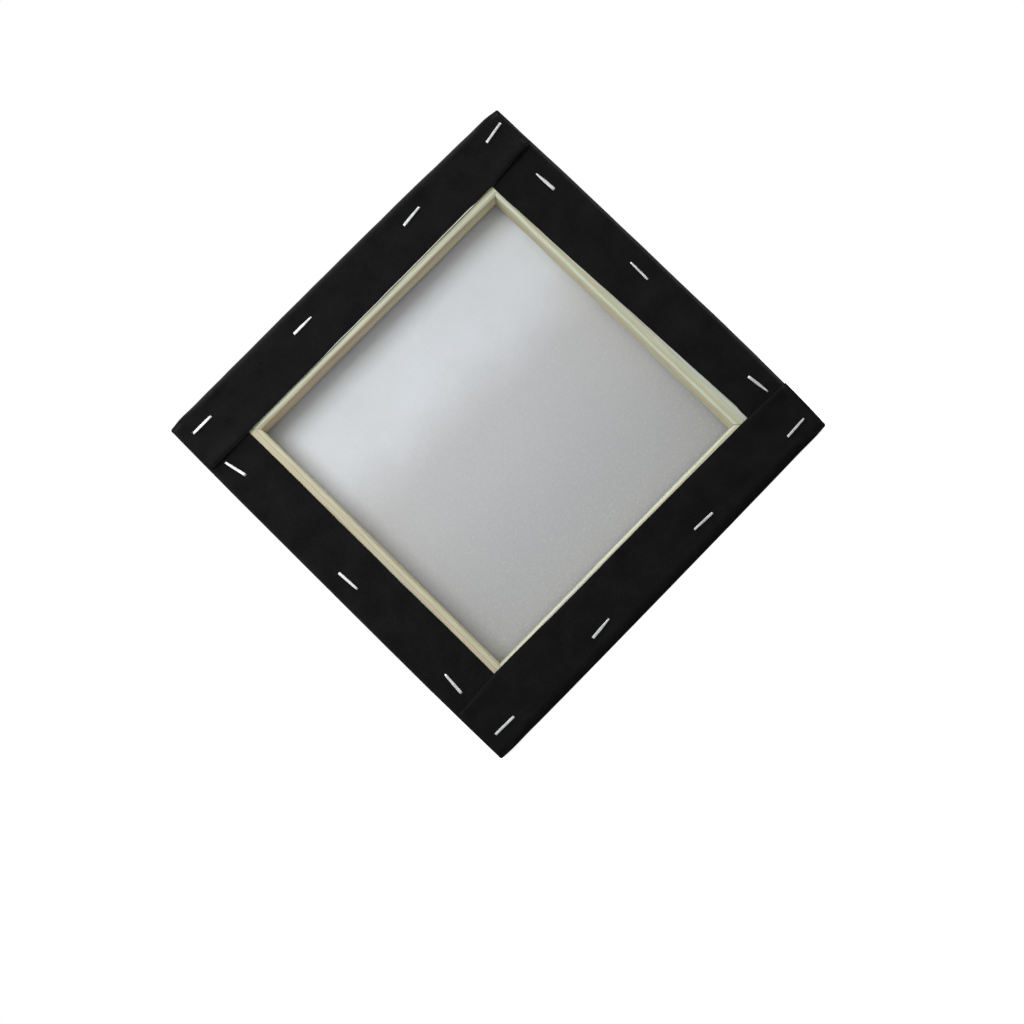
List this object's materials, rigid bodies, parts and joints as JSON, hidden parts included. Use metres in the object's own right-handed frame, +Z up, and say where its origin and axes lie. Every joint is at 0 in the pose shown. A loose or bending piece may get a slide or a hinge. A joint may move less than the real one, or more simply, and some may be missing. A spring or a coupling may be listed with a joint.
{
  "type": "stretched canvas",
  "caption": "Small square stretched canvas: black primed cotton wrapped over mitred pine stretcher bars and stapled to the back.",
  "frame": {"origin": "middle of the bottom edge that it stands on", "axes": "+X to the right seen from the front, +Y from the painting face to the back, +Z up"},
  "size_m": [0.2032, 0.0178, 0.2032],
  "materials": {
    "primed_canvas": "black acrylic-primed cotton duck, matt, off-white unprimed weave inside",
    "pine": "planed pale pine, unfinished",
    "staple_steel": "bright galvanised flat wire",
    "nail_steel": "plain strip steel"
  },
  "bodies": {
    "root": {"canvas": "primed_canvas", "stretcher_bar_top": "pine", "stretcher_bar_bottom": "pine", "stretcher_bar_left": "pine", "stretcher_bar_right": "pine", "v_nail_top_left_outer": "nail_steel", "v_nail_top_left_inner": "nail_steel", "v_nail_top_right_outer": "nail_steel", "v_nail_top_right_inner": "nail_steel", "v_nail_bottom_left_outer": "nail_steel", "v_nail_bottom_left_inner": "nail_steel", "v_nail_bottom_right_outer": "nail_steel", "v_nail_bottom_right_inner": "nail_steel", "staple_top_1": "staple_steel", "staple_top_2": "staple_steel", "staple_top_3": "staple_steel", "staple_top_4": "staple_steel", "staple_bottom_1": "staple_steel", "staple_bottom_2": "staple_steel", "staple_bottom_3": "staple_steel", "staple_bottom_4": "staple_steel", "staple_left_1": "staple_steel", "staple_left_2": "staple_steel", "staple_left_3": "staple_steel", "staple_right_1": "staple_steel", "staple_right_2": "staple_steel", "staple_right_3": "staple_steel"}
  },
  "joints": []
}
